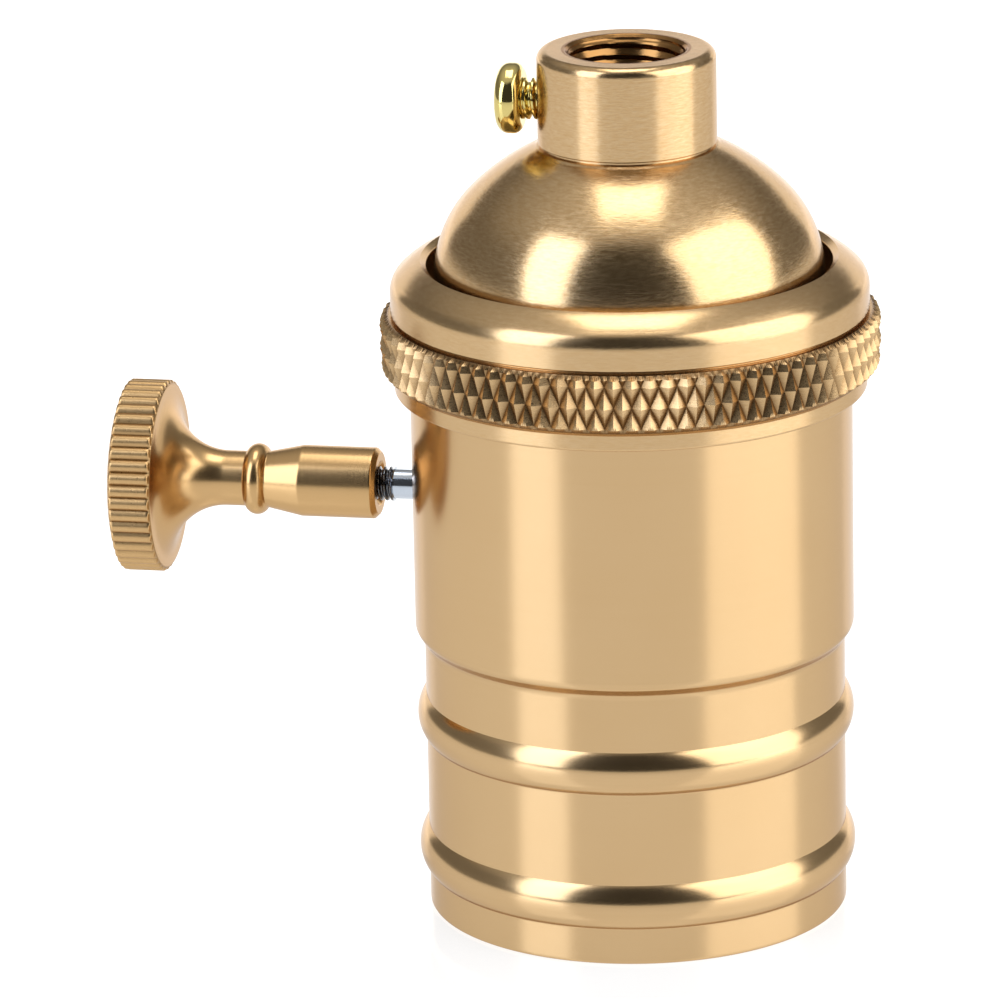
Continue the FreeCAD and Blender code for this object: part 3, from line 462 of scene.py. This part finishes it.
def make_shell():
    """The drawn tube with its two beads, step and screwed top, as one turned wall.

    Round the spindle window the grid is drawn in: a square of cells, m = max(|across|, |up|), is
    pulled onto the window's circle at its inner edge and left alone at its outer one.
    """
    _, high = reach("outer_shell")
    wall, top, bore = high[0], high[2], 17.9
    columns, cells, window = 352, 4, 1.7
    cell = FULL_TURN * wall / columns
    steps = np.arange(-3 * cells, 3 * cells + 1)
    rows = KNOB_LEVEL + cell * steps
    outside = (Outline(16.95, 0).line(18.2, 0, 0.3).line(18.2, 3.2, 0.25).arc(18.2, 7.15, 2.83)
               .line(18.2, 15.3, 0.25).arc(18.2, 19.1, 2.78).line(18.2, 24.1, 0.3)
               .line(wall, 25.1, 0.35).line(wall, rows[0])).points()[:-1]
    outer_rows = np.stack([np.full(len(rows), wall), rows], -1)
    upper = Outline(wall, rows[-1]).line(wall, 46.9, 0.1).line(18.7, 46.9).points()[1:]
    thread = np.stack([np.full(70, 18.7), np.linspace(46.95, top - 0.3, 70)], -1)
    inside = Outline(18.35, top).line(bore, top, 0.15).line(bore, rows[-1]).points()[:-1]
    inner_rows = np.stack([np.full(len(rows), bore), rows[::-1]], -1)
    lower = (Outline(bore, rows[0]).line(bore, 28.3, 0.1).line(18.3, 28.3).line(18.3, 27.4)
             .line(bore, 27.4, 0.1).line(bore, 24.4).line(16.95, 24.4, 0.15)
             .line(16.95, 0.0)).points()[1:-1]
    profile = np.concatenate([outside, outer_rows, upper, thread, inside, inner_rows, lower])
    first_out = len(outside)
    first_in = first_out + len(outer_rows) + len(upper) + len(thread) + len(inside)

    cut = only_on(18.7, 46.92, top, screw_thread(1.5, -0.45, 47.0, top - 0.2))
    rings = turned(profile, columns, cut)
    faces = lattice(rings, True)
    centre = columns // 2
    left, right = centre - cells, centre + cells
    hole_edge = []
    for first, radius, upward in ((first_out, wall, 1), (first_in, bore, -1)):
        block = rings[first:first + len(rows), centre - 3 * cells:centre + 3 * cells + 1]
        up = upward * steps[:, None] / cells
        across = -steps[None, :] / cells
        square = np.maximum(np.abs(across), np.abs(up))
        share = np.clip((square - 1) / 2, 0, 1)
        scale = share * cell * cells + (1 - share) * window / (np.hypot(across, up) + 1e-9)
        y, z = across * scale, up * scale + KNOB_LEVEL
        block[..., 0], block[..., 1], block[..., 2] = -np.sqrt(radius**2 - y**2), y, z
        near, far = first + 2 * cells, first + 4 * cells
        faces[near:far, left:right] = 0
        if upward < 0:
            near, far = far, near
        loop = [(near, c) for c in range(left, right)]
        loop += [(r, right) for r in range(near, far, upward)]
        loop += [(far, c) for c in range(right, left, -1)]
        loop += [(r, left) for r in range(far, near, -upward)]
        hole_edge.append(np.array([r * columns + c for r, c in loop]))
    outer, inner = hole_edge
    sides = np.stack([outer, np.roll(outer, -1), np.roll(inner, -1), inner], -1)
    make_piece(
        "shell_tube", rings.reshape(-1, 3), [faces, sides], SHELL_GOLD, "shell_body",
        ["outer_shell"], crease=32)


# ---- cap ----


def make_cap():
    """Flange, dome and neck in one turned piece, with the cord thread in the neck's bore."""
    low, high = reach("cap")
    bottom, top, flange = low[2], high[2], high[0]
    neck, bore = 7.65, 5.0
    outline = (Outline(15.4, bottom).line(flange, bottom, 0.15).line(flange, 54.35, 0.15)
               .line(16.75, 54.35, 0.1).line(16.75, 56.14).arc(13.63, 63.60, 10.5)
               .arc(8.0, 67.48, 19.38).line(7.72, 67.66, 0.06).line(7.42, 67.70, 0.03)
               .line(7.42, 67.88, 0.03).line(neck, 67.98, 0.03).line(neck, top - 0.8)
               .arc(6.85, top, 0.8).line(5.25, top, 0.08).line(bore, top - 0.25))
    bore_rows = np.stack([np.full(130, bore), np.linspace(top - 0.3, 67.2, 130)], -1)
    inside = Outline(bore, 67.15).line(12.68, 62.64, 1.0).line(15.4, 56.14, 1.0)
    profile = np.concatenate([outline.points(), bore_rows, inside.points()])
    cut = only_on(bore, 67.16, top - 0.26, screw_thread(1.0, -0.32, 67.4, top - 0.3, 1.0))
    turned_piece(
        "dome_cap", turned(profile, 240, cut), CAP_GOLD, "cap_body", ["cap"], crease=40)


# ---- lock ring ----


def make_ring():
    """The screwed ring with its diamond knurl.

    In half diamonds, the knurl's height is the smaller of |(across + up) mod 2 - 1| and
    |(across - up) mod 2 - 1|, the distances from its two sets of slanted grooves, and the blank's
    own outline trims it at the lips. Each small square is split along its groove.
    """
    low, high = reach("lock_ring")
    bottom, top = low[2], high[2]
    tip, valley, blank = high[0], 20.93, 21.55
    count, row, first, turn, parts, coarse = 86, 1.83, 46.69, math.radians(1.7), 6, 258
    lip, knurl_top, ledge = 47.75, 52.7, 53.1
    foot = (Outline(19.06, bottom).line(20.2, bottom, 0.05).line(20.3, bottom + 0.15, 0.05)
            .line(20.3, lip, 0.08).line(20.36, lip + 0.05))
    crown = (Outline(20.65, ledge).line(20.05, ledge, 0.05).line(20.05, 53.25, 0.04)
             .line(20.53, 53.40, 0.05).line(20.53, 55.1).arc(19.8, 56.6, 1.9).arc(17.9, top - 0.3, 6.0)
             .line(17.35, 57.4, 0.1).line(17.35, 54.45, 0.1).line(18.76, 54.45)
             .line(18.76, 47.4, 0.05).line(19.06, 47.4))
    steps = np.arange(4, 21)
    levels = np.append(first + row * steps / parts, ledge)
    envelope = np.interp(levels, [lip, 48.7, knurl_top, ledge], [20.3, blank, blank, 20.75])
    fine = 2 * count * parts

    def knurl(angle, radius, level):
        across = (angle - turn) * count / math.pi
        up = (level - first) / row
        height = np.minimum(np.abs((across + up) % 2 - 1), np.abs((across - up) % 2 - 1))
        return np.minimum(radius, valley + (tip - valley) * height)

    below = turned(foot.points(), coarse, None, turn)
    band = turned(np.stack([envelope, levels], -1), fine, knurl, turn)
    above = turned(crown.points(), coarse, None, turn)
    points = np.concatenate([part.reshape(-1, 3) for part in (below, band, above)])
    after_foot = below.shape[0] * coarse
    after_band = after_foot + band.shape[0] * fine

    squares = lattice(band, False)
    parity = (np.arange(fine)[None, :] // parts + (steps[:, None] // parts)) % 2
    even, odd = squares[parity == 0], squares[parity == 1]
    halves = [even[:, [0, 1, 3]], even[:, [1, 2, 3]], odd[:, [0, 1, 2]], odd[:, [0, 2, 3]]]
    share = fine // coarse
    here = np.arange(coarse)
    ahead = (here + 1) % coarse
    many = (share * here[:, None] + np.arange(share + 1)) % fine
    lower_seam = np.column_stack([
        after_foot - coarse + here, after_foot - coarse + ahead, after_foot + many[:, ::-1]])
    upper_seam = np.column_stack([
        after_band - fine + many, after_band + ahead, after_band + here])
    last = len(points) - coarse
    closing = np.column_stack([last + here, last + ahead, ahead, here])
    faces = [lattice(below, False), *[after_foot + half for half in halves],
             after_band + lattice(above, False), lower_seam, upper_seam, closing]
    make_piece(
        "knurled_ring", points, faces, RING_GOLD, "ring_body", ["lock_ring"], crease=20)


# ---- knob and spindle ----


def make_knob():
    """Barrel, bead, flared stem and disc, with rounded ridges round the disc.

    A ridge's height over its width x, from -1 to 1, is 1 - x^2, faded out at the disc's two edges.
    """
    low, high = reach("knob")
    outer, inner = -low[0], -high[0]
    ridges, per_ridge = 45, 8
    core, tip = 8.05, 8.36
    outline = (Outline(0, 28.0).line(1.5, 28.0).line(1.5, inner + 0.45, 0.1).line(1.95, inner, 0.1)
               .line(2.7, inner, 0.06).line(3.1, inner + 0.4, 0.1).line(3.1, 29.0, 0.1)
               .line(2.45, 32.1, 0.1).arc(2.45, 34.0, 1.02).line(2.4, 34.02)
               .line(2.4, 35.7).arc(7.6, 40.9, 5.2, -1).line(core - 0.02, 40.93, 0.05)
               .line(core, 41.05))
    rim = np.stack([np.full(17, core), np.concatenate([
        np.linspace(41.1, 41.5, 6), np.linspace(41.7, 43.9, 5), np.linspace(44.1, 44.5, 6)])], -1)
    face = Outline(core, 44.55).line(core - 0.95, outer, 0.5).line(0, outer)
    profile = np.concatenate([outline.points(), rim, face.points()])

    def ridge(angle, radius, level):
        width = 2 * ((angle * ridges / FULL_TURN) % 1) - 1
        edge = np.clip(np.minimum(level - 41.0, 44.6 - level) / 0.25, 0, 1)
        height = (tip - core) * (1 - width**2) * np.sqrt(edge * (2 - edge))
        return np.where(np.abs(radius - core) < SAME, radius + height, radius)

    rings = along_knob(turned(profile, ridges * per_ridge, ridge), KNOB_LEVEL)
    turned_piece(
        "turn_knob", rings, KNOB_GOLD, "switch_rotor", ["knob"], False, 38)


def make_spindle():
    """The switch's steel spindle, with a rolled thread of 0.5 pitch under the knob."""
    low, high = reach("spindle")
    inner, outer = -high[0], -low[0]
    plain, threaded = 1.3, 1.5
    shank = Outline(0, inner).line(plain, inner, 0.2).line(plain, 20.9).line(threaded, 20.9)
    thread = np.stack([np.full(110, threaded), np.linspace(20.95, outer - 0.2, 110)], -1)
    end = Outline(threaded, outer - 0.15).line(plain, outer, 0.05).line(0, outer)
    profile = np.concatenate([shank.points(), thread, end.points()])
    cut = only_on(threaded, 20.92, outer, screw_thread(0.5, -0.28, 20.8, outer - 0.1))
    rings = along_knob(turned(profile, 40, cut), KNOB_LEVEL)
    turned_piece(
        "switch_spindle", rings, SPINDLE_STEEL, "switch_rotor", ["spindle"], False, 50)


# ---- grip screw ----


def make_grip_screw():
    """A polished brass screw: threaded shank, domed cheese head and a short blind driver slot.

    The head's end is lofted ring by ring from the slot's rounded rectangle out to the head's circle.
    """
    low, high = reach("grip_screw")
    tip, end, head = -high[0], -low[0], high[1]
    columns, threaded = 72, 1.8
    shank = Outline(0, tip).line(threaded, tip, 0.35).line(threaded, 5.6)
    thread = np.stack([np.full(60, threaded), np.linspace(5.65, 8.75, 60)], -1)
    under = (Outline(threaded, 8.8).line(1.75, 8.9).line(head - 0.85, 8.9, 0.1).arc(head, 9.75, 0.85)
             .line(head, end - 1.0).arc(head - 0.95, end, 0.98))
    profile = np.concatenate([shank.points(), thread, under.points()])
    cut = only_on(threaded, 5.62, 8.78, screw_thread(0.7, -0.38, 5.5, 8.8))
    angle = FULL_TURN * np.arange(columns) / columns
    outward = np.stack([np.cos(angle), np.sin(angle)], -1)
    circle = (head - 0.95) * outward
    slot = np.clip(3.0 * outward, (-0.4, -1.9), (0.4, 1.9))
    rings = [turned(profile, columns, cut)]
    for share, scale, level in (
            (0.3, 1.0, end), (0.7, 1.0, end), (0.95, 1.0, end), (1.0, 1.0, end - 0.03),
            (1.0, 1.0, end - 0.85), (1.0, 0.93, end - 0.9), (1.0, 0.4, end - 0.9), (1.0, 0.0, end - 0.9)):
        flat = ((1 - share) * circle + share * slot) * scale
        rings.append(np.column_stack([flat, np.full(columns, level)])[None])
    rings = along_knob(np.concatenate(rings), GRIP_LEVEL)
    turned_piece(
        "grip_screw_body", rings, GRIP_BRASS, "grip_body", ["grip_screw"], False, 40)


# ---- lamp side ----


def make_screw_shell():
    """The formed brass shell for the lamp's cap: both sides of the sheet follow one rolled helix.

    The wall's middle radius is mean + swing cos(full turn (level / pitch - angle / full turn)).
    """
    low, high = reach("screw_shell")
    bottom, top, pitch = low[2], high[2], 3.629
    inside_mean, outside_mean, swing, count = 12.78, 13.19, 0.50, 120
    levels = np.linspace(bottom + 0.02, top - 0.6, count)
    outer = np.stack([np.full(count, outside_mean), levels], -1)
    inner = np.stack([np.full(count, inside_mean), levels[::-1]], -1)
    collar = Outline(outside_mean, top - 0.4).line(12.9, top, 0.3).line(8.6, top, 0.1)
    collar.line(8.6, top - 0.5, 0.1).line(inside_mean, top - 0.52, 0.2)
    profile = np.concatenate([outer, collar.points(), inner])

    def relief(angle, radius, level):
        rolled = swing * np.cos(FULL_TURN * (level / pitch) - angle)
        fade = np.clip((top - 0.6 - level) / 1.2, 0, 1) * np.clip((level - bottom) / 0.8, 0, 1)
        sheet = (np.abs(radius - outside_mean) < SAME) | (np.abs(radius - inside_mean) < SAME)
        return np.where(sheet & (level < top - 0.55), radius + rolled * fade, radius)

    turned_piece(
        "lamp_screw_shell", turned(profile, 144, relief), CONTACT_BRASS, "shell_body",
        ["screw_shell"], crease=50)


make_shell()
make_cap()
make_ring()
make_knob()
make_spindle()
make_grip_screw()
make_screw_shell()

CARRIED_OVER = {
    "porcelain_core": PORCELAIN,
    "centre_contact": SPRING_BRONZE,
    "contact_rivet": CONTACT_BRASS,
    "core_clip": SPRING_STEEL,
    "switch_block": MOULDED_BLACK,
    "terminal_deck": MOULDED_BLACK,
    "lamp_contact": CONTACT_BRASS,
    "feed_contact": CONTACT_BRASS,
    "neutral_strap": CONTACT_BRASS,
    "live_terminal": CONTACT_BRASS,
    "neutral_terminal": CONTACT_BRASS,
    "terminal_screws": SCREW_STEEL,
    "deck_screws": SCREW_STEEL,
    "deck_nuts": SCREW_STEEL,
    "detent_spring": SPRING_STEEL,
    "detent_cam": MOULDED_BLACK,
    "contact_bridge": CONTACT_BRASS,
    "spindle_collar": SCREW_STEEL,
    "cap_liner": FIBRE,
}
for node_name, finish in CARRIED_OVER.items():
    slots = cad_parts[node_name].material_slots
    if not slots:
        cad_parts[node_name].data.materials.append(finish)
    for slot in slots:
        slot.material = finish


# ---- studio ----

CAMERA_TURN = math.radians(10)


def make_camera():
    """A long lens a little above the lamp holder, turned slightly towards the knob."""
    distance, height, pitch, yaw, roll = 630.344, 231.859, 0.301079, -0.0181835, -0.0204702
    forward = Vector((math.sin(yaw), math.cos(yaw), 0))
    right = Vector((math.cos(yaw), -math.sin(yaw), 0))
    up = Vector((0, 0, 1))
    view = forward * math.cos(pitch) - up * math.sin(pitch)
    top = up * math.cos(pitch) + forward * math.sin(pitch)
    across = right * math.cos(roll) + top * math.sin(roll)
    above = top * math.cos(roll) - right * math.sin(roll)
    basis = Matrix((across, above, -view)).transposed()
    turn = Matrix.Rotation(CAMERA_TURN, 3, "Z")
    place = Matrix((turn @ basis).to_4x4())
    place.translation = turn @ Vector((0, -distance, height)) / 1000
    data = bpy.data.cameras.new("camera")
    data.sensor_width = 36.0
    data.lens = 7649.92 * data.sensor_width / 1000
    data.clip_end = 20.0
    camera = bpy.data.objects.new("camera", data)
    camera.matrix_world = place
    bpy.context.scene.collection.objects.link(camera)
    bpy.context.scene.camera = camera


def make_softbox(name, azimuth, elevation, distance, width, height, radiance, colour=(1, 1, 1),
                 lean=0.0):
    """A rectangular light facing the lamp holder.

    Azimuth 0 is over the camera, positive to its right, and lean turns the light in its own plane.
    """
    turn = math.radians(azimuth) + CAMERA_TURN
    tilt = math.radians(elevation)
    centre = Vector((0, 0, 0.04))
    level = math.cos(tilt)
    aim = Vector((math.sin(turn) * level, -math.cos(turn) * level, math.sin(tilt)))
    data = bpy.data.lights.new(name, "AREA")
    data.shape = "RECTANGLE"
    data.size = width
    data.size_y = height
    data.energy = radiance * math.pi * width * height
    data.color = colour
    lamp = bpy.data.objects.new(name, data)
    lamp.location = centre + aim * distance
    facing = aim.to_track_quat("Z", "Y").to_matrix() @ Matrix.Rotation(math.radians(lean), 3, "Z")
    lamp.rotation_euler = facing.to_euler()
    bpy.context.scene.collection.objects.link(lamp)


def make_floor():
    """White paper that glows a little, the same all over."""
    size = 3.0
    mesh = bpy.data.meshes.new("floor")
    mesh.from_pydata(
        [(-size, -size, 0), (size, -size, 0), (size, size, 0), (-size, size, 0)], [], [(0, 1, 2, 3)])
    finish = Finish("floor_paper")
    speck = finish.noise(finish.place, 0.02, 2.0)
    colour = finish.mix(speck, (0.25, 0.25, 0.25, 1), (0.27, 0.27, 0.27, 1))
    mesh.materials.append(finish.shade(
        Base_Color=colour, Roughness=0.05, IOR=1.8, Emission_Color=(1, 1, 1, 1),
        Emission_Strength=0.77))
    floor = bpy.data.objects.new("floor", mesh)
    bpy.context.scene.collection.objects.link(floor)


def make_world():
    """Grey sides that pale upwards, a dark gap over the camera, and a pale ground behind everything.

    The gap opens as the direction's share towards the camera rises from 0.35 to 0.51. Camera rays see
    the pale ground alone.
    """
    world = bpy.data.worlds.new("studio")
    world.use_nodes = True
    nodes = Nodes(world.node_tree)
    towards = nodes.node("ShaderNodeTexCoord", {}, {}, "Generated")
    front = (math.sin(CAMERA_TURN), -math.cos(CAMERA_TURN), 0.0)
    facing = nodes.node(
        "ShaderNodeVectorMath", {"operation": "DOT_PRODUCT"}, {0: towards, 1: front}, "Value")
    height = nodes.node("ShaderNodeSeparateXYZ", {}, {0: towards}, "Z")
    gap = ((facing - 0.35) / 0.16).clamped()
    sides = 0.24 + 0.46 * ((height - 0.45) / 0.5).clamped()
    grey = nodes.node(
        "ShaderNodeBackground", {},
        {"Color": (1.0, 0.97, 0.93, 1), "Strength": sides * (1 - gap) + 0.05 * gap})
    pale = nodes.node("ShaderNodeBackground", {}, {"Color": (0.93, 0.93, 0.93, 1)})
    seen = nodes.node("ShaderNodeLightPath", {}, {}, "Is Camera Ray")
    shown = nodes.node("ShaderNodeMixShader", {}, {0: seen, 1: grey, 2: pale})
    nodes.output("ShaderNodeOutputWorld", shown)
    bpy.context.scene.world = world


make_camera()
make_floor()
make_world()
make_softbox("left_softbox", -54, 29, 0.60, 0.30, 0.68, 3.3, (0.93, 1.0, 1.15), lean=8)
make_softbox("right_softbox", 68, 28, 0.60, 0.66, 0.72, 2.75, lean=-8)
make_softbox("overhead_softbox", 176, 82, 0.75, 0.33, 0.42, 3.0, lean=4)
make_softbox("back_panel", 180, 8, 1.0, 1.50, 0.40, 1.3)
bpy.context.scene.view_settings.view_transform = "Standard"
